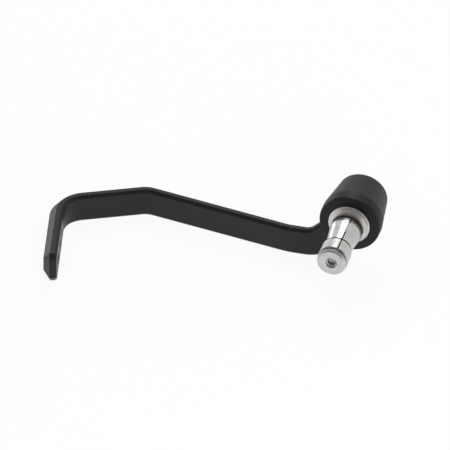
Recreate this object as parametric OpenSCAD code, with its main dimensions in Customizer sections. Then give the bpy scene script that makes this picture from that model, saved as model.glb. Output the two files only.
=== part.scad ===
// Brake lever guard for the right end of a motorcycle handlebar.
// One black moulded blade carries its own tapered barrel. The barrel is clamped
// between an end cap outside and a collar inside, on an aluminium sleeve. One long
// cap screw draws two cones into four gripping fingers inside the handlebar.
// Millimetres. The origin is the centre of the flange's seat face, on the bar axis.
// +X points outboard along the bar, +Y forward over the lever, +Z up.

/* [Blade path] */
// distance the blade runs below the bar axis, to its middle
blade_drop = 24.2; // [20:0.1:32]
// set-back of the neck's inboard face from the collar's inboard face
neck_setback = 9.2; // [8.5:0.1:12]
// angle at which the neck rises to the barrel
neck_angle = 42; // [35:1:50]
// radius of the hollow corner above the neck
neck_fillet_r = 7; // [4:0.5:12]
// forward distance from the bar axis to the neck's hollow corner
neck_corner_y = 25.6; // [24:0.1:32]
// forward distance from the bar axis to the flare bend
flare_y = 38; // [36:0.5:48]
// angle the long run flares outboard
flare_angle = 10; // [4:0.5:14]
// radius of the flare bend on its outer face
flare_r = 24; // [10:1:40]
// forward distance from the bar axis to the first bend's sharp corner
bend1_y = 120.8; // [100:0.5:150]
// angle the blade turns inboard at the first bend
bend1_angle = 34.6; // [20:0.5:45]
// inner radius of the first bend
bend1_r = 8; // [6:0.5:20]
// length from the first bend's corner to the second bend's corner
mid_len = 45.6; // [38:0.5:60]
// angle the blade turns inboard at the second bend
bend2_angle = 75.8; // [60:0.2:85]
// inner radius of the second bend
bend2_r = 13; // [8:0.5:16]
// length from the second bend's corner to the tip
tail_len = 56.4; // [54:0.2:70]

/* [Blade section] */
// height of the blade
blade_w = 16.7; // [14:0.1:20]
// thickness of the blade, face to face
blade_t = 7.6; // [6.5:0.1:9]
// height taken by each outer bevel
bevel_h = 4.3; // [2:0.1:5.5]
// depth taken by each outer bevel
bevel_d = 3.7; // [1.5:0.1:4]
// legs of the two inner edge chamfers
inner_ch = 1.5; // [0.5:0.1:2]

/* [Tail] */
// How far the tail's upper edge has risen from the blade's own at the tip.
tail_rise = 1.2; // [0:0.1:5]
// How far its lower edge has come down there.
tail_fall = 2.5; // [0:0.1:5]
// radius of the round corner on top of the tip
corner_r = 4; // [3:0.1:7]
// height of the tip's square end below the middle
tip_low = 5.8; // [3:0.1:8]
// length of the slanting cut under the tip
tip_low_l = 5.5; // [2:0.1:8]
// length of the outer bevel across the tip
tip_bevel = 5.5; // [2:0.1:8]
// leg of the inner chamfer across the tip
tip_ch = 0.6; // [0.3:0.1:2]
// diameters of the three lightening holes, from the tip inward
hole_d = [6.6, 5.2, 3.9]; // [3:0.1:8]
// distances of the three holes from the tip
hole_at = [11.3, 24.6, 36]; // [8:0.1:40]

/* [Barrel] */
// radius of the barrel where it meets the collar
barrel_r1 = 17.25; // [15.5:0.05:20]
// radius of the barrel at its outer end
barrel_r2 = 14; // [13:0.05:16]
// length from the collar's inboard face to the barrel's outer end
stack_len = 29.2; // [26:0.1:36]
// legs of the chamfer round the barrel's outer end
barrel_ch = 0.7; // [0.3:0.1:1.2]

/* [Collar] */
// width of the black collar
collar_w = 7; // [5:0.1:8]
// radius of the collar's inboard face
collar_face_r = 16.1; // [14.5:0.1:17]
// length of the curved edge along the bar
collar_edge = 2.2; // [1:0.1:4]

/* [End cap] */
// radius of the end cap
cap_r = 12.9; // [12:0.1:14.5]
// thickness of the end cap
cap_t = 3.4; // [2.5:0.1:5]
// amount the cap stands out of the barrel
cap_proud = 0.35; // [0.1:0.05:1]
// inner and outer radius of the band between the cap's two fine grooves
cap_band = [9.6, 11.9]; // [9:0.1:13]
// width and depth of each fine groove
cap_groove = 0.35; // [0.2:0.05:0.6]

/* [Sleeve] */
// radius of the sleeve's head, the bright ring outside
sleeve_head_r = 8.4; // [8:0.1:9.2]
// thickness of the sleeve's head
sleeve_head_t = 2.1; // [1.5:0.1:3]
// radius of the sleeve's body
sleeve_r = 7.5; // [7:0.1:8]
// radius of the counterbore round the screw head
counterbore_r = 5.6; // [5.3:0.05:6]
// depth of the counterbore
counterbore_h = 6.6; // [6.2:0.1:9]

/* [Seat flange] */
// radius of the flange that meets the end of the handlebar
flange_r = 11.7; // [10.5:0.1:12.5]
// thickness of the flange
flange_t = 2.2; // [1.5:0.1:3]
// amount the flange's seat face stands out of the collar
flange_proud = 0.6; // [0.3:0.1:1.5]
// radius of the hub that enters the handlebar
hub_r = 9; // [8.6:0.05:9.5]
// length of the hub
hub_len = 3.7; // [3:0.1:8]

/* [Fingers] */
// length of the fingers
finger_len = 29.1; // [28:0.1:40]
// gap between the hub and the fingers, which the rubber washer fills
foot_gap = 1.7; // [1:0.1:2.2]
// gap between the fingers and the nut's rim
tip_gap = 1; // [0.2:0.1:2]
// radius of the fingers at their foot
foot_r = 8.9; // [8.5:0.05:9.3]
// length of the full-size band at the fingers' foot
foot_band = 3; // [2:0.1:6]
// radius of the fingers' waist, where the taper from the foot ends
waist_r = 6.9; // [6.6:0.05:7.5]
// radius of the fingers at their tip
tip_r = 8.5; // [8.3:0.05:9.3]
// length of the full-size band at the fingers' tip
tip_band = 9.3; // [8:0.1:12]
// chamfer round the fingers' tips
finger_ch = 0.8; // [0.3:0.1:1]
// distance from the middle of the finger ring to the tip's band
ring_at = 1.5; // [1:0.1:3]
// radius of the finger ring's round section
ring_wire_r = 0.6; // [0.4:0.05:0.8]
// depth of the finger ring's groove
ring_groove = 0.3; // [0.1:0.05:0.5]
// width of the four slots between the fingers
slot_w = 0.8; // [0.6:0.1:2]
// angle of the slots round the bar axis, from upright toward the rider
slot_turn = 20; // [0:1:45]

/* [Cones and nut] */
// length of the two cones, one on the flange and one on the nut
cone_len = 8.2; // [6:0.1:9]
// radius of each cone's thick end
cone_r1 = 7.1; // [6.5:0.05:7.4]
// radius of each cone's thin end
cone_r2 = 4.5; // [4.2:0.05:5]
// radius of the nut's rim
rim_r = 8.2; // [7.8:0.1:9]
// thickness of the nut's rim
rim_t = 2; // [1.8:0.1:4]
// chamfer round the nut's face
rim_ch = 1.1; // [0.5:0.1:1.4]
// height of the nut's two keys over its cone's thick end
key_rise = 0.4; // [0.2:0.1:0.8]

/* [Screw] */
// radius of the screw's thread
screw_r = 3; // [2.5:0.5:3]
// radius of the screw's head
head_r = 5; // [4.5:0.1:5.2]
// height of the screw's head
head_h = 6; // [4:0.1:6]
// width across the flats of the hexagon socket
socket_af = 5; // [4:0.5:5]
// depth of the hexagon socket
socket_h = 3; // [2:0.1:3.5]
// distance the screw's end stays inside the nut's face
screw_short = 3.2; // [1:0.1:6]

/* [Hidden] */
$fn = 64;
// gap between turned parts that fit together
gap = 0.1;
// small overlap that makes cuts clean and pieces join
eps = 0.01;
// length that the runs of the blade reach into its bends
lap = 0.2;
// amount the bends lie under the surface of the runs, so that the two join cleanly
skin = 0.01;
// small chamfer on the turned edges
edge = 0.2;
// chamfer on the hub's and the screw head's outer edges
lead = 0.4;
// chamfer at the mouth of a thread
mouth = 0.5;
// clearance between the screw and the bores it passes through
screw_gap = 0.3;
// clearance between the screw's thread and the nut's
thread_gap = 0.05;
// clearance between the rubber ring or washer and the walls beside it
ring_gap = 0.05;
// clearance on each side of the nut's keys in the slots
key_gap = 0.15;
// wall the neck's root keeps over the sleeve's bore
root_wall = 2.4;

// places along the bar axis, counted outboard from the seat face
collar_x = flange_proud;
barrel_x = collar_x + collar_w;
barrel_end_x = collar_x + stack_len;
cap_face_x = barrel_end_x + cap_proud;
cap_x = cap_face_x - cap_t;
neck_x = collar_x + neck_setback;
head_seat_x = barrel_end_x - counterbore_h;
screw_top = head_seat_x + head_h;
// places along the bar axis, counted inboard from the seat face
foot_x = hub_len + foot_gap;
tip_x = foot_x + finger_len;
band_x = tip_x - tip_band;
ring_x = band_x - ring_at;
nut_back = tip_x + tip_gap;
nut_x = nut_back + rim_t;
screw_end = nut_x - screw_short;

half_w = blade_w / 2;
neck_corner_run = neck_fillet_r * tan(neck_angle / 2);
flare_run = (flare_r + blade_t) * tan(flare_angle / 2);
bend1_run = bend1_r * tan(bend1_angle / 2);
bend2_run = bend2_r * tan(bend2_angle / 2);
// straight part of the long run, between the flare and the first bend
long_len = (bend1_y - flare_y) / cos(flare_angle) - flare_run - bend1_run;
tail_run = tail_len - bend2_run;
tail_slope = tail_fall / (tail_run - corner_r);
neck_arc_y = neck_corner_y + neck_corner_run;
neck_arc_z = -blade_drop + half_w + neck_fillet_r;
neck_root_r = sleeve_r + root_wall;
neck_len = neck_arc_y * cos(neck_angle) - neck_arc_z * sin(neck_angle) - neck_root_r;

// the fingers open at both ends at the cones' own angle
cone_slope = (cone_r1 - cone_r2) / cone_len;
foot_mouth = cone_r1 - cone_slope * foot_gap + gap;
tip_mouth = cone_r1 - cone_slope * tip_gap + gap;
bore_r = screw_r + screw_gap;
foot_mouth_len = (foot_mouth - bore_r) / cone_slope;
tip_mouth_len = (tip_mouth - bore_r) / cone_slope;
key_r = cone_r1 + key_rise;
key_w = slot_w - 2 * key_gap;
groove_w = 2 * (ring_wire_r + ring_gap);
groove_r = waist_r - ring_groove;

// The blade's outline across its run: inboard face on the left, bevelled face on the right.
module blade_section(under = 0) {
    h = half_w - under;
    inner = inner_ch + under;
    outer = blade_t - bevel_d - under;
    polygon([
        [under, inner_ch - h],
        [inner, -h],
        [outer, -h],
        [blade_t - under, bevel_h - h],
        [blade_t - under, h - bevel_h],
        [outer, h],
        [inner, h],
        [under, h - inner_ch]
    ]);
}

// A straight run forward; whatever follows starts at its end.
module blade_run(len) {
    translate([0, len + lap, 0])
        rotate([90, 0, 0])
            linear_extrude(height = len + 2 * lap)
                blade_section();
    translate([0, len, 0])
        children();
}

// A bend toward the inboard side, round a centre inside the blade.
module bend_in(angle, r) {
    translate([-r, 0, 0]) {
        rotate_extrude(angle = angle)
            translate([r, 0])
                blade_section(skin);
        rotate([0, 0, angle])
            translate([r, 0, 0])
                children();
    }
}

// A bend toward the outboard side, round a centre outside the blade.
module bend_out(angle, r) {
    translate([r + blade_t, 0, 0]) {
        rotate([0, 0, 180 - angle])
            rotate_extrude(angle = angle)
                translate([r + blade_t, 0])
                    mirror([1, 0])
                        blade_section(skin);
        rotate([0, 0, -angle])
            translate([-r - blade_t, 0, 0])
                children();
    }
}

// The tail's outline seen from behind, drawn in by a margin, and by its own one at the tip.
module tail_outline(margin, tip_margin) {
    end = tail_run + margin - tip_margin;
    low_x = end - tip_low_l;
    top = half_w + tail_rise;
    intersection() {
        offset(delta = -margin)
            polygon(concat(
                [[-lap, -half_w], [-blade_w, -half_w], [-blade_w, half_w], [-lap, half_w]],
                [for (a = [90 : -10 : 0])
                    [end - corner_r * (1 - cos(a)), top - corner_r * (1 - sin(a))]],
                [[end, -tip_low], [low_x, -half_w - tail_slope * low_x]]
            ));
        translate([-lap, -blade_w])
            square([tail_run + blade_w, 2 * blade_w]);
    }
}

// One flat slice of the tail, from one depth in the thickness to another.
module tail_slice(from, to) {
    translate([from, 0, 0])
        rotate([0, 90, 0])
            rotate([0, 0, 90])
                linear_extrude(height = to - from)
                    children();
}

// The tail: its edges spread toward the tip, its outer flat keeps its height, and it has three holes.
module tail() {
    flat_h = blade_w - 2 * bevel_h;
    difference() {
        hull() {
            tail_slice(0, eps)
                tail_outline(inner_ch, tip_ch);
            tail_slice(inner_ch, blade_t - bevel_d)
                tail_outline(0, 0);
            tail_slice(blade_t - eps, blade_t)
                translate([-lap, -flat_h / 2])
                    square([tail_run - tip_bevel + lap, flat_h]);
        }
        for (i = [0 : 2])
            translate([-eps, tail_run - hole_at[i], 0])
                rotate([0, 90, 0])
                    cylinder(d = hole_d[i], h = blade_t + 2 * eps);
    }
}

// The neck: it leaves the flare bend backward, turns up and runs into the barrel.
module neck() {
    translate([neck_x, neck_arc_y, -blade_drop])
        blade_run(flare_y - flare_run - neck_arc_y);
    translate([neck_x, neck_arc_y, neck_arc_z])
        rotate([0, 90, 0])
            rotate([0, 0, -neck_angle])
                rotate_extrude(angle = neck_angle)
                    translate([neck_fillet_r + half_w, 0])
                        rotate(90)
                            blade_section(skin);
    translate([neck_x, neck_arc_y, neck_arc_z])
        rotate([-neck_angle, 0, 0])
            translate([0, -neck_len, -neck_fillet_r - half_w])
                blade_run(neck_len);
}

// The moulded body: tapered barrel, neck and blade in one.
module guard_blade() {
    color([0.16, 0.16, 0.17])
        union() {
            rotate([0, 90, 0])
                rotate_extrude()
                    polygon([
                        [sleeve_r + gap, barrel_x],
                        [barrel_r1, barrel_x],
                        [barrel_r2, barrel_end_x - barrel_ch],
                        [barrel_r2 - barrel_ch, barrel_end_x],
                        [cap_r + gap, barrel_end_x],
                        [cap_r + gap, cap_x],
                        [sleeve_r + gap, cap_x]
                    ]);
            neck();
            translate([neck_x, flare_y - flare_run, -blade_drop])
                bend_out(flare_angle, flare_r)
                    blade_run(long_len)
                        bend_in(bend1_angle, bend1_r)
                            blade_run(mid_len - bend1_run - bend2_run)
                                bend_in(bend2_angle, bend2_r)
                                    tail();
        }
}

// Black collar between the barrel and the handlebar; the flange sits in its counterbore.
module barrel_collar() {
    rise = barrel_r1 - collar_face_r;
    color([0.1, 0.1, 0.11])
        rotate([0, 90, 0])
            rotate_extrude()
                polygon(concat(
                    [[sleeve_r + gap, barrel_x], [sleeve_r + gap, flange_t],
                        [flange_r + gap, flange_t], [flange_r + gap, collar_x]],
                    [for (a = [0 : 15 : 90])
                        [collar_face_r + rise * sin(a), collar_x + collar_edge * (1 - cos(a))]],
                    [[barrel_r1, barrel_x]]
                ));
}

// Black cap outside; its two fine grooves frame a bare band.
module end_cap() {
    color([0.08, 0.08, 0.09])
        rotate([0, 90, 0])
            rotate_extrude()
                polygon([
                    [sleeve_r + gap, cap_x],
                    [cap_r, cap_x],
                    [cap_r, cap_face_x - edge],
                    [cap_r - edge, cap_face_x],
                    [cap_band[1] + cap_groove, cap_face_x],
                    [cap_band[1] + cap_groove / 2, cap_face_x - cap_groove],
                    [cap_band[1], cap_face_x],
                    [cap_band[0], cap_face_x],
                    [cap_band[0] - cap_groove / 2, cap_face_x - cap_groove],
                    [cap_band[0] - cap_groove, cap_face_x],
                    [sleeve_head_r + gap, cap_face_x],
                    [sleeve_head_r + gap, barrel_end_x - sleeve_head_t],
                    [sleeve_r + gap, barrel_end_x - sleeve_head_t]
                ]);
}

// Aluminium sleeve through the barrel; its head holds the cap, its counterbore the screw.
module core_sleeve() {
    color([0.8, 0.8, 0.8])
        rotate([0, 90, 0])
            rotate_extrude()
                polygon([
                    [bore_r, flange_t + gap],
                    [sleeve_r, flange_t + gap],
                    [sleeve_r, barrel_end_x - sleeve_head_t],
                    [sleeve_head_r, barrel_end_x - sleeve_head_t],
                    [sleeve_head_r, barrel_end_x - edge],
                    [sleeve_head_r - edge, barrel_end_x],
                    [counterbore_r + edge, barrel_end_x],
                    [counterbore_r, barrel_end_x - edge],
                    [counterbore_r, head_seat_x],
                    [bore_r, head_seat_x]
                ]);
}

// Aluminium flange: its rim meets the handlebar's end, its hub and cone enter the bore.
module seat_flange() {
    color([0.8, 0.8, 0.8])
        rotate([0, 90, 0])
            rotate_extrude()
                polygon([
                    [bore_r, -hub_len - cone_len],
                    [cone_r2, -hub_len - cone_len],
                    [cone_r1, -hub_len],
                    [hub_r - lead, -hub_len],
                    [hub_r, lead - hub_len],
                    [hub_r, 0],
                    [flange_r - edge, 0],
                    [flange_r, edge],
                    [flange_r, flange_t],
                    [bore_r, flange_t]
                ]);
}

// One of four gripping fingers: full size at both ends, with a waist and the ring's groove.
module finger(turn) {
    color([0.85, 0.85, 0.85])
        rotate([slot_turn + turn, 0, 0])
            difference() {
                rotate([0, -90, 0])
                    rotate_extrude(angle = 90)
                        polygon([
                            [foot_mouth, foot_x],
                            [foot_r - edge, foot_x],
                            [foot_r, foot_x + edge],
                            [foot_r, foot_x + foot_band],
                            [waist_r, ring_x - groove_w / 2],
                            [groove_r, ring_x - groove_w / 2],
                            [groove_r, ring_x + groove_w / 2],
                            [waist_r, ring_x + groove_w / 2],
                            [waist_r, band_x],
                            [tip_r - edge, band_x],
                            [tip_r, band_x + edge],
                            [tip_r, tip_x - finger_ch],
                            [tip_r - finger_ch, tip_x],
                            [tip_mouth, tip_x],
                            [bore_r, tip_x - tip_mouth_len],
                            [bore_r, foot_x + foot_mouth_len]
                        ]);
                // half of each slot beside the finger
                translate([-tip_x - eps, -eps, -eps])
                    cube([finger_len + 2 * eps, 2 * foot_r, slot_w / 2 + eps]);
                translate([-tip_x - eps, -eps, -eps])
                    cube([finger_len + 2 * eps, slot_w / 2 + eps, 2 * foot_r]);
            }
}

module finger_top_front() {
    finger(0);
}

module finger_top_back() {
    finger(90);
}

module finger_low_back() {
    finger(180);
}

module finger_low_front() {
    finger(270);
}

// Rubber washer on the root of the flange's cone, between the hub and the fingers' feet.
module foot_ring() {
    color([0.08, 0.08, 0.08])
        rotate([0, -90, 0])
            rotate_extrude()
                polygon([
                    [cone_r1 + gap, hub_len + ring_gap],
                    [hub_r - edge, hub_len + ring_gap],
                    [hub_r, hub_len + ring_gap + edge],
                    [hub_r, foot_x - ring_gap - edge],
                    [hub_r - edge, foot_x - ring_gap],
                    [cone_r1 + gap, foot_x - ring_gap]
                ]);
}

// Rubber ring round the waist, behind the tips' bands, that holds the fingers together.
module finger_ring() {
    color([0.08, 0.08, 0.08])
        translate([-ring_x, 0, 0])
            rotate([0, 90, 0])
                rotate_extrude()
                    translate([groove_r + ring_gap + ring_wire_r, 0])
                        circle(r = ring_wire_r);
}

// Cone nut: the screw draws its cone into the fingers; two keys run in the slots.
module cone_nut() {
    color([0.82, 0.82, 0.82])
        difference() {
            union() {
                rotate([0, -90, 0])
                    rotate_extrude()
                        polygon([
                            [0, nut_back - cone_len],
                            [cone_r2, nut_back - cone_len],
                            [cone_r1, nut_back],
                            [rim_r - edge, nut_back],
                            [rim_r, nut_back + edge],
                            [rim_r, nut_x - rim_ch],
                            [rim_r - rim_ch, nut_x],
                            [0, nut_x]
                        ]);
                rotate([slot_turn, 0, 0])
                    translate([-nut_back - eps, -key_r, -key_w / 2])
                        cube([cone_len / 2, 2 * key_r, key_w]);
            }
            translate([-nut_x - eps, 0, 0])
                rotate([0, 90, 0])
                    cylinder(r = screw_r + thread_gap, h = rim_t + cone_len + 2 * eps);
            translate([-nut_x - eps, 0, 0])
                rotate([0, 90, 0])
                    cylinder(r1 = screw_r + mouth, r2 = screw_r, h = mouth);
        }
}

// Long socket cap screw along the bar axis.
module cap_screw() {
    color([0.75, 0.75, 0.77])
        difference() {
            rotate([0, 90, 0])
                rotate_extrude()
                    polygon([
                        [0, -screw_end],
                        [screw_r - mouth, -screw_end],
                        [screw_r, mouth - screw_end],
                        [screw_r, head_seat_x],
                        [head_r, head_seat_x],
                        [head_r, screw_top - lead],
                        [head_r - lead, screw_top],
                        [0, screw_top]
                    ]);
            translate([screw_top - socket_h, 0, 0])
                rotate([0, 90, 0])
                    cylinder(d = socket_af / cos(30), h = socket_h + eps, $fn = 6);
        }
}

guard_blade();
barrel_collar();
end_cap();
core_sleeve();
seat_flange();
finger_top_front();
finger_top_back();
finger_low_back();
finger_low_front();
foot_ring();
finger_ring();
cone_nut();
cap_screw();
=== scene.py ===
# %% [markdown]
# # Brake lever guard
# A guard like this hooks round the outer end of a brake lever, so that nothing can press the
# lever from outside. Its parts come from the CAD model and keep their places. This script gives
# them their finishes, adds the thread that is too fine for the CAD model, and sets the light
# and the camera.

from collections import namedtuple
from math import cos, pi, radians, sin

import bmesh
import bpy
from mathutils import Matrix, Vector


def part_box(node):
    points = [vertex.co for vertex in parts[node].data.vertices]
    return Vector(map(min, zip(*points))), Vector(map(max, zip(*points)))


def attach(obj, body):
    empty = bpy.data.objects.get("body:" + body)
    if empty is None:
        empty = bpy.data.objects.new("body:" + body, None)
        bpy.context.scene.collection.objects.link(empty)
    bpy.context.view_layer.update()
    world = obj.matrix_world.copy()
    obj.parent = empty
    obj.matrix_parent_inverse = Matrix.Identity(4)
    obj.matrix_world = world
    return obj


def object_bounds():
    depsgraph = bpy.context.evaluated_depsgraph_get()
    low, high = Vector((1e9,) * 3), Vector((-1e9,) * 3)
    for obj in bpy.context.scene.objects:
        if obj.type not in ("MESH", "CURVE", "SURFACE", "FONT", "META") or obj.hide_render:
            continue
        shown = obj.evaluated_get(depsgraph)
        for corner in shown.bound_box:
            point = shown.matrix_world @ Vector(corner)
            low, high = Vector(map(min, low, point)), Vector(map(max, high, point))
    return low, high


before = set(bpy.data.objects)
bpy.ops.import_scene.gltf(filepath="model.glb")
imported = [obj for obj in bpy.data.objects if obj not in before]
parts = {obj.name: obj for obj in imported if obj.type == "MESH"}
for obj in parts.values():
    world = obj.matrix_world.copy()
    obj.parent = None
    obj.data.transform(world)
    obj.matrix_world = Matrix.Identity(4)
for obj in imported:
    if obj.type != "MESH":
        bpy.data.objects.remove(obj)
cad_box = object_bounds()
MM = 0.001
print("CAD parts:", ", ".join(sorted(parts)))

# %% [markdown]
# ## Sizes
# Every place is measured on the CAD parts, so the script still fits if a size changes there.
# The bar axis is the X axis. Outboard is +X, so the nut's free face is the lowest X of all.

# %% Places along the bar axis
nut_face_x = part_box("cone_nut")[0].x
screw_end_x, screw_top_x = (corner.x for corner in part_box("cap_screw"))
cap_face_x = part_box("end_cap")[1].x
washer_x = sum(corner.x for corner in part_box("foot_ring")) / 2
joint_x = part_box("finger_top_front")[0].x - 0.5 * MM
thread_r = 3.0 * MM
thread_pitch = 1.0 * MM
screw_head_h = 6.2 * MM
print("nut face at %.1f mm, screw end at %.1f mm" % (nut_face_x / MM, screw_end_x / MM))

# %% [markdown]
# ## Shader maths as plain sums
# A finish is a small sum of patterns: so much grain, less of it on the worn edges. In Blender
# each plus or minus is a node. The class below wraps one output of a node, so that a sum can be
# written as a sum. Values go through Math nodes. Vectors and colours go through Vector Math and
# Mix, because a Math node would turn a colour grey. Every other node comes from one method.

# %% One wire of a material
class Wire:
    """One output of a shader node. Sums on wires add the nodes that work them out."""

    def __init__(self, tree, socket=None):
        self.tree = tree
        self.socket = socket

    def node(self, kind, settings=None, inputs=None, output=0):
        """Adds a node, sets it up, fills its sockets and returns the wanted output."""
        made = self.tree.nodes.new("ShaderNode" + kind)
        for name, value in (settings or {}).items():
            setattr(made, name, value)
        for name, value in (inputs or {}).items():
            if isinstance(value, Wire):
                self.tree.links.new(value.socket, made.inputs[name])
            else:
                made.inputs[name].default_value = value
        return Wire(self.tree, made.outputs[output] if made.outputs else None)

    def beside(self, output):
        """Another output of the node that this wire comes from."""
        return Wire(self.tree, self.socket.node.outputs[output])

    def is_vector(self):
        return self.socket.type == "VECTOR"

    def sum(self, operation, first, second=0.0):
        vector = any(isinstance(v, Wire) and v.is_vector() for v in (first, second))
        if vector:
            pair = [v if isinstance(v, Wire) else (v, v, v) for v in (first, second)]
            return self.node("VectorMath", {"operation": operation}, {0: pair[0], 1: pair[1]})
        return self.node("Math", {"operation": operation}, {0: first, 1: second})

    def __add__(self, other):
        return self.sum("ADD", self, other)

    def __radd__(self, other):
        return self.sum("ADD", other, self)

    def __sub__(self, other):
        return self.sum("SUBTRACT", self, other)

    def __rsub__(self, other):
        return self.sum("SUBTRACT", other, self)

    def __mul__(self, other):
        return self.sum("MULTIPLY", self, other)

    def __rmul__(self, other):
        return self.sum("MULTIPLY", other, self)

    def __truediv__(self, other):
        return self.sum("DIVIDE", self, other)

    def __rtruediv__(self, other):
        return self.sum("DIVIDE", other, self)

    def math(self, operation, other=0.0):
        """A Math function with a name, such as SQRT or FRACT."""
        return self.sum(operation, self, other)

    def fade(self, start, end):
        """0 where the value is start, 1 where it is end, held outside them."""
        return self.node(
            "MapRange",
            {"interpolation_type": "SMOOTHSTEP"},
            {"Value": self, "From Min": start, "From Max": end},
        )

    def blend(self, low, high):
        """A colour that goes from low to high as this value goes from 0 to 1."""
        return self.node(
            "Mix", {"data_type": "RGBA"}, {"Factor": self, 6: low, 7: high}, output=2
        )


print("wires ready")

# %% [markdown]
# ## Where a point lies
# Most finishes on this guard are turned on a lathe, so their marks depend on only two numbers:
# how far along the bar axis a point is, and how far out from it. The CAD parts sit at the
# origin, so their object coordinates are real places in metres.

# %% Where a point lies, and its colour
Place = namedtuple("Place", "spot along forward up out")


def grey(level):
    """A neutral colour."""
    return (level, level, level, 1.0)


def new_finish(name):
    """An empty material, and a wire to start its sums from."""
    material = bpy.data.materials.new(name)
    material.use_nodes = True
    material.node_tree.nodes.clear()
    return material, Wire(material.node_tree)


def place_of(wire):
    """Where a point lies: as a vector, along the axis, forward, up, and out from the axis."""
    spot = wire.node("TexCoord", output=3)
    along = wire.node("SeparateXYZ", inputs={"Vector": spot})
    forward = along.beside(1)
    up = along.beside(2)
    out = (forward * forward + up * up).math("SQRT")
    return Place(spot, along, forward, up, out)


def turn_of(place):
    """How far round the bar axis a point lies, in turns from minus a half to a half."""
    return place.forward.math("ARCTAN2", place.up) / (2 * pi)


print("place helpers ready")

# %% [markdown]
# ## Patterns and edges
# Two patterns serve nearly every finish here. Blotches are a noise of the whole place. Lathe
# marks are a noise of only two numbers, along and out, so they run as rings round the axis. The
# Bevel node turns the surface's direction near an edge, as if the edge were round. How far it
# turns it also says where the edges are, for the wear.

# %% Patterns and edges
def noise(wire, spot, size, detail=2.0, rough=0.5):
    """Smooth random blotches of about the given size, from 0 to 1."""
    return wire.node(
        "TexNoise",
        {"noise_dimensions": "3D"},
        {"Vector": spot, "Scale": 1.0 / size, "Detail": detail, "Roughness": rough},
    )


def lathe_marks(wire, place, size):
    """Rings left by a lathe: the same all round, different along and out from the axis."""
    rings = wire.node("CombineXYZ", inputs={0: place.along, 1: place.out, 2: 0.0})
    return noise(wire, rings, size, detail=3, rough=0.6)


def soft_edges(wire, radius):
    """The surface's direction with its sharp edges rounded off, for shading only."""
    return wire.node("Bevel", {"samples": 6}, {"Radius": radius})


def edge_mask(wire, rounded):
    """Near 1 on an edge and 0 on a flat, from how far the rounding turns the surface."""
    flat = wire.node("NewGeometry", output=1)
    match = wire.node(
        "VectorMath", {"operation": "DOT_PRODUCT"}, {0: flat, 1: rounded}, output=1
    )
    return (1.0 - match).fade(0.0, 0.12)


def bump(wire, height, distance, strength, **rounding):
    """A surface that is a little higher where height is 1."""
    relief = {"Strength": strength, "Distance": distance, "Height": height}
    return wire.node("Bump", inputs={**relief, **rounding})


def close_finish(wire, colour, roughness, normal, **constants):
    """Ends a finish in the surface shader."""
    inputs = {"Base Color": colour, "Roughness": roughness, "Normal": normal, **constants}
    shader = wire.node("BsdfPrincipled", inputs=inputs)
    wire.node("OutputMaterial", inputs={"Surface": shader})


print("pattern helpers ready")

# %% [markdown]
# ## Black moulding
# The blade and its barrel are moulded in one piece. The mould leaves a very fine grain, which
# spreads the light, and its edges are slightly round, so they catch a thin bright line. Handling
# polishes those edges. The grain is a noise of a quarter of a millimetre in the bump, a broader
# noise shifts the gloss, and the edge mask makes the edges a little smoother. It also makes them
# a little paler: partly wear from handling, partly a painted highlight that strengthens the thin
# bright line.

# %% The moulding's finish
def moulded_black():
    material, wire = new_finish("black_moulding")
    place = place_of(wire)
    rounded = soft_edges(wire, 0.45 * MM)
    near_edge = edge_mask(wire, rounded)
    cloud = noise(wire, place.spot, 9 * MM, detail=3)
    grain = noise(wire, place.spot, 0.25 * MM, detail=1)
    # Paler edges: partly wear, partly a painted highlight along the edges' bright line.
    shade = cloud * 0.35 + near_edge * 0.55
    colour = shade.blend(grey(0.006), grey(0.015))
    roughness = 0.31 + cloud * 0.08 + grain * 0.05 - near_edge * 0.05
    normal = bump(wire, grain, 0.05 * MM, 0.25, Normal=rounded)
    close_finish(wire, colour, roughness, normal, IOR=1.46)
    return material


moulding = moulded_black()
print("finish:", moulding.name)

# %% [markdown]
# ## Black anodised
# The collar and the cap are turned from aluminium and dyed black. Under the dye the lathe's
# marks stay. The cap has a ring of short pale marks between its two grooves, cut by a laser.
# Here they are plain strokes: the turn round the axis is cut into equal parts, and the first
# third of each part is a stroke.

# %% The anodised finish
def laser_strokes(place):
    """1 on short radial strokes round the cap's face, 0 elsewhere."""
    inner_r = 10.1 * MM
    outer_r = 11.4 * MM
    count = 48
    stroke_share = 0.35
    part_of_turn = ((turn_of(place) + 0.5) * count).math("FRACT")
    is_stroke = part_of_turn.math("LESS_THAN", stroke_share)
    is_band = place.out.math("GREATER_THAN", inner_r) * place.out.math("LESS_THAN", outer_r)
    is_face = place.along.math("GREATER_THAN", cap_face_x - 0.05 * MM)
    return is_stroke * is_band * is_face


def anodised_black(name, marked):
    material, wire = new_finish(name)
    place = place_of(wire)
    rounded = soft_edges(wire, 0.25 * MM)
    near_edge = edge_mask(wire, rounded)
    marks = lathe_marks(wire, place, 0.35 * MM)
    cloud = noise(wire, place.spot, 6 * MM)
    colour = (near_edge * 0.7 + cloud * 0.2).blend(grey(0.006), grey(0.016))
    roughness = 0.36 + marks * 0.1 + cloud * 0.05
    if marked:
        stroke = laser_strokes(place)
        colour = stroke.blend(colour, grey(0.42))
        roughness = roughness + stroke * 0.15
    normal = bump(wire, marks, 0.03 * MM, 0.3, Normal=rounded)
    close_finish(wire, colour, roughness, normal, IOR=1.4)
    return material


collar_black = anodised_black("black_anodised", marked=False)
cap_black = anodised_black("black_anodised_marked", marked=True)
print("finishes:", collar_black.name, cap_black.name)
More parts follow.
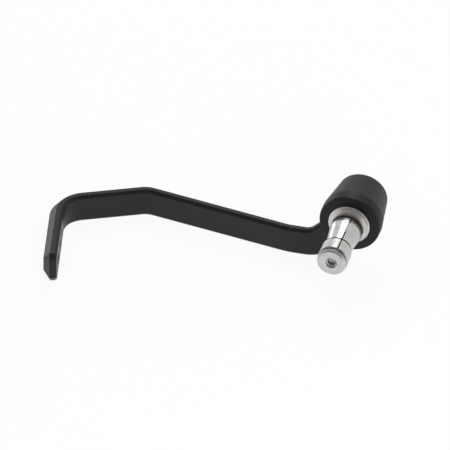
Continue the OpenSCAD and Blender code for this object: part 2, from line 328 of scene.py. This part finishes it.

# %% [markdown]
# ## Turned aluminium
# The flange, the fingers, the nut and the sleeve are bright aluminium straight off the lathe.
# A mirror of metal with fine rings across it smears its reflections along the axis. The rings
# are in the bump, and broader noises make some places duller, so that the highlights break up
# as they do on real turned metal. The lathe leaves a round corner between the flange and its
# hub, which catches a line of light, so the flange's edges are rounded more than the others'.
#
# A painted shade darkens the metal beside the rubber washer and in the joint before the nut's
# rim, where these narrow gaps lie in shadow. It is a mask of the distance along the axis, kept
# to the outside of the fingers by the distance out from it.

# %% The aluminium finish
def painted_gap_shade(place):
    """Painted shade in the gaps: 1 beside the washer and in the joint before the nut's rim, 0
    elsewhere.
    """
    outside_r = 6 * MM
    foot = (place.along - washer_x).math("ABSOLUTE").fade(2.6 * MM, 1.2 * MM)
    tip = (place.along - joint_x).math("ABSOLUTE").fade(1.5 * MM, 0.6 * MM)
    return (foot + tip).math("MINIMUM", 1.0) * place.out.math("GREATER_THAN", outside_r)


def turned_aluminium(name, level, roughness_low, ring_size, edge_radius=0.15 * MM):
    material, wire = new_finish(name)
    place = place_of(wire)
    rounded = soft_edges(wire, edge_radius)
    fine = lathe_marks(wire, place, ring_size)
    broad = lathe_marks(wire, place, 2.5 * MM)
    cloud = noise(wire, place.spot, 3 * MM, detail=3)
    warm = (level, level * 0.975, level * 0.955, 1.0)
    dull = (level * 0.8, level * 0.78, level * 0.76, 1.0)
    colour = (broad * 0.4 + cloud * 0.6).fade(0.3, 0.7).blend(dull, warm)
    # Painted shade: the colour darkens in the shadowed gaps by the washer and before the nut's
    # rim.
    colour = (painted_gap_shade(place) * 0.7).blend(colour, grey(0.06))
    roughness = roughness_low + fine * 0.12 + cloud * 0.1
    normal = bump(wire, fine, 0.02 * MM, 0.35, Normal=rounded)
    close_finish(wire, colour, roughness, normal, Metallic=1.0)
    return material


bright_metal = turned_aluminium("turned_aluminium", 0.9, 0.18, 0.3 * MM)
face_metal = turned_aluminium("faced_aluminium", 0.82, 0.28, 0.25 * MM)
flange_metal = turned_aluminium("flange_aluminium", 0.86, 0.2, 0.3 * MM, edge_radius=0.7 * MM)
print("finishes:", bright_metal.name, face_metal.name, flange_metal.name)

# %% [markdown]
# ## Plated steel and rubber
# The screw is zinc plated. Its thread is too fine for the CAD model, so it is a bump: a zigzag
# wave along the axis, moved by one pitch for each turn round it. The ring round the fingers and
# the washer at their feet are plain dull rubber with a faint bloom on it.

# %% The screw's and the rubber's finishes
def plated_steel():
    material, wire = new_finish("plated_steel")
    place = place_of(wire)
    climb = (place.along / thread_pitch + turn_of(place)).math("PINGPONG", 0.5)
    is_shank = place.out.math("LESS_THAN", thread_r + 0.1 * MM)
    below_head = place.along.math("LESS_THAN", screw_top_x - screw_head_h)
    thread = climb * is_shank * below_head
    cloud = noise(wire, place.spot, 2 * MM)
    colour = cloud.blend(grey(0.62), grey(0.78))
    roughness = 0.28 + cloud * 0.12
    normal = bump(wire, thread, 0.6 * MM, 1.0)
    close_finish(wire, colour, roughness, normal, Metallic=1.0)
    return material


def black_rubber():
    material, wire = new_finish("black_rubber")
    bloom = noise(wire, place_of(wire).spot, 0.8 * MM, detail=3)
    colour = bloom.blend(grey(0.011), grey(0.022))
    normal = bump(wire, bloom, 0.04 * MM, 0.3)
    close_finish(wire, colour, 0.6 + bloom * 0.2, normal, IOR=1.45)
    return material


steel = plated_steel()
rubber = black_rubber()
print("finishes:", steel.name, rubber.name)

# %% [markdown]
# ## Finishes onto the CAD parts
# A CAD part keeps its mesh. Only its material slots change.

# %% Which part wears which finish
finish_of = {
    "guard_blade": moulding,
    "barrel_collar": collar_black,
    "end_cap": cap_black,
    "core_sleeve": bright_metal,
    "seat_flange": flange_metal,
    "finger_top_front": bright_metal,
    "finger_top_back": bright_metal,
    "finger_low_back": bright_metal,
    "finger_low_front": bright_metal,
    "foot_ring": rubber,
    "finger_ring": rubber,
    "cone_nut": face_metal,
    "cap_screw": steel,
}
for name, material in finish_of.items():
    slots = parts[name].data.materials
    slots.clear()
    slots.append(material)
    print("%-18s %s" % (name, material.name))

# %% [markdown]
# ## The thread in the nut
# The nut's bore shows a thread round a dark hole, because the screw ends inside it. A thread is
# one ridge wound into a helix: a low, flat-topped section carried round the axis, moved along
# by one pitch each turn. It is a real mesh here, since its crests break the hole's edge.

# %% The ridge of the nut's thread
def helix_ridge(name, start, end, wall_r, crest_r, pitch, steps=48):
    """A ridge on the inside of a bore, wound from start to end along the axis."""
    section = ((-0.44, wall_r), (-0.06, crest_r), (0.06, crest_r), (0.44, wall_r))
    build = bmesh.new()
    turns = (end - start - pitch) / pitch
    rows = []
    for step in range(int(turns * steps) + 1):
        angle = 2 * pi * step / steps
        middle = start + pitch / 2 + pitch * step / steps
        row = []
        for shift, radius in section:
            spot = (middle + shift * pitch, radius * cos(angle), radius * sin(angle))
            row.append(build.verts.new(spot))
        rows.append(row)
    for low, high in zip(rows, rows[1:]):
        for side in range(4):
            other = (side + 1) % 4
            build.faces.new((low[side], low[other], high[other], high[side]))
    build.faces.new(rows[0][::-1])
    build.faces.new(rows[-1])
    bmesh.ops.recalc_face_normals(build, faces=build.faces)
    mesh = bpy.data.meshes.new(name)
    build.to_mesh(mesh)
    build.free()
    ridge = bpy.data.objects.new(name, mesh)
    bpy.context.scene.collection.objects.link(ridge)
    return ridge


nut_thread = helix_ridge(
    "nut_thread",
    start=nut_face_x + 0.5 * MM,
    end=screw_end_x - 0.05 * MM,
    wall_r=thread_r + 0.05 * MM,
    crest_r=thread_r - 0.5 * MM,
    pitch=thread_pitch,
)
nut_thread.data.materials.append(face_metal)
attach(nut_thread, "root")
print("thread:", len(nut_thread.data.polygons), "faces")

# %% [markdown]
# ## Camera
# The photograph was taken from the rider's side and above, with a long lens, so parallel edges
# stay parallel. An orthographic camera does just that, and its scale is the width of the view.
# The last length says how far right of the picture's middle the bar axis meets the seat face.

# %% The camera
view_azimuth = radians(-74.85)
view_elevation = radians(35.2)
view_width = 246 * MM
view_distance = 1.2
origin_right = 67.7 * MM

right = Vector((cos(view_azimuth), sin(view_azimuth), 0.0))
back = Vector(
    (
        sin(view_azimuth) * cos(view_elevation),
        -cos(view_azimuth) * cos(view_elevation),
        sin(view_elevation),
    )
)
camera_data = bpy.data.cameras.new("camera")
camera_data.type = "ORTHO"
camera_data.ortho_scale = view_width
camera = bpy.data.objects.new("camera", camera_data)
bpy.context.scene.collection.objects.link(camera)
camera.location = view_distance * back - origin_right * right
camera.rotation_euler = back.to_track_quat("Z", "Y").to_euler()
bpy.context.scene.camera = camera
print("camera at", [round(v, 3) for v in camera.location])

# %% [markdown]
# ## Floor and light
# The photograph has a plain white ground. The floor is pale, and to the camera and in
# reflections it also glows a little, so that it comes out white while the guard's soft shadow
# still shows. In reflections it glows less, and less still beside the guard's outer end, because
# the real barrel mirrors something darker there. In front of the tail it stays bright, and on the
# rider's side it grows a little brighter, as the fingers' right edges show.
#
# Black parts show little but what they mirror. The photograph's barrel is dark towards the
# camera and lighter on its far side, so the room is dark above the camera and grey opposite.
# A small soft lamp stands high on the far side and draws the bright line on the fingers. A
# second, low one beyond the tail lights its bevel. A third, large one on the rider's side only
# fills the shadows: it is left out of the reflections.

# %% The floor
def ray_kinds(wire):
    """1 for what the camera sees, and 1 for what is mirrored or seen through glass."""
    seen = wire.node("LightPath")
    mirrored = seen.beside("Is Glossy Ray") + seen.beside("Is Transmission Ray")
    return seen, mirrored


def pale_floor():
    glow_strength = 1.06
    glow_share = 0.86
    material, wire = new_finish("pale_floor")
    seen, mirrored = ray_kinds(wire)
    place = place_of(wire)
    outboard = place.along.fade(0.0, 60 * MM) * place.forward.fade(280 * MM, 180 * MM)
    rider_side = place.forward.fade(0.0, -80 * MM)
    dimming = mirrored * (0.24 - rider_side * 0.12 + outboard * 0.28)
    light = dimming.blend(grey(1.0), grey(0.0))
    paper = wire.node("BsdfDiffuse", inputs={"Color": grey(0.86)})
    glow = wire.node("Emission", inputs={"Color": light, "Strength": glow_strength})
    glowing = (seen + mirrored).math("MINIMUM", 1.0) * glow_share
    mixed = wire.node("MixShader", inputs={0: glowing, 1: paper, 2: glow})
    wire.node("OutputMaterial", inputs={"Surface": mixed})
    return material


floor_z = cad_box[0][2] - 0.3 * MM
bpy.ops.mesh.primitive_plane_add(size=40.0, location=(0.0, 0.0, floor_z))
floor = bpy.context.object
floor.name = "floor"
floor.data.materials.append(pale_floor())
print("floor at %.1f mm" % (floor_z / MM))

# %% The room
room = bpy.data.worlds.new("room")
bpy.context.scene.world = room
room.use_nodes = True
room.node_tree.nodes.clear()
air = Wire(room.node_tree)
seen, mirrored = ray_kinds(air)
outboard = air.node("SeparateXYZ", inputs={"Vector": air.node("TexCoord", output=0)})
height = outboard.beside(2)
over_camera = (0.0 - outboard).fade(-0.5, 0.4) * height.fade(0.05, 0.35)
plain_level = 0.4
mirror_level = 0.6 - over_camera * 0.35
level = plain_level + seen * (1.0 - plain_level) + mirrored * (mirror_level - plain_level)
shade = level.blend(grey(0.0), grey(1.0))
lit_air = air.node("Background", inputs={"Color": shade, "Strength": 1.0})
air.node("OutputWorld", inputs={"Surface": lit_air})
print("room ready, plain level", plain_level)

# %% The lamps
guard_middle = (0.0, 0.07, -0.01)


def soft_lamp(name, place, size, power):
    """A rectangular lamp that faces the guard. Places and sizes are in metres."""
    data = bpy.data.lights.new(name, "AREA")
    data.shape = "RECTANGLE"
    data.size, data.size_y = size
    data.energy = power
    lamp = bpy.data.objects.new(name, data)
    bpy.context.scene.collection.objects.link(lamp)
    lamp.location = place
    lamp.visible_camera = False
    away = Vector(place) - Vector(guard_middle)
    lamp.rotation_euler = away.to_track_quat("Z", "Y").to_euler()
    return lamp


soft_lamp("top_lamp", (0.66, 0.13, 0.98), (0.34, 0.36), 2.4)
soft_lamp("tail_lamp", (0.46, 0.82, 0.06), (0.45, 0.22), 0.8)
side_lamp = soft_lamp("side_lamp", (-1.0, -0.6, 0.7), (0.6, 0.9), 6.0)
side_lamp.visible_glossy = False
print("lamps:", [o.name for o in bpy.data.objects if o.type == "LIGHT"])

# %% [markdown]
# ## Finish
# The picture keeps colours as they are written.

# %% Colour and closing
bpy.context.scene.view_settings.view_transform = "Standard"
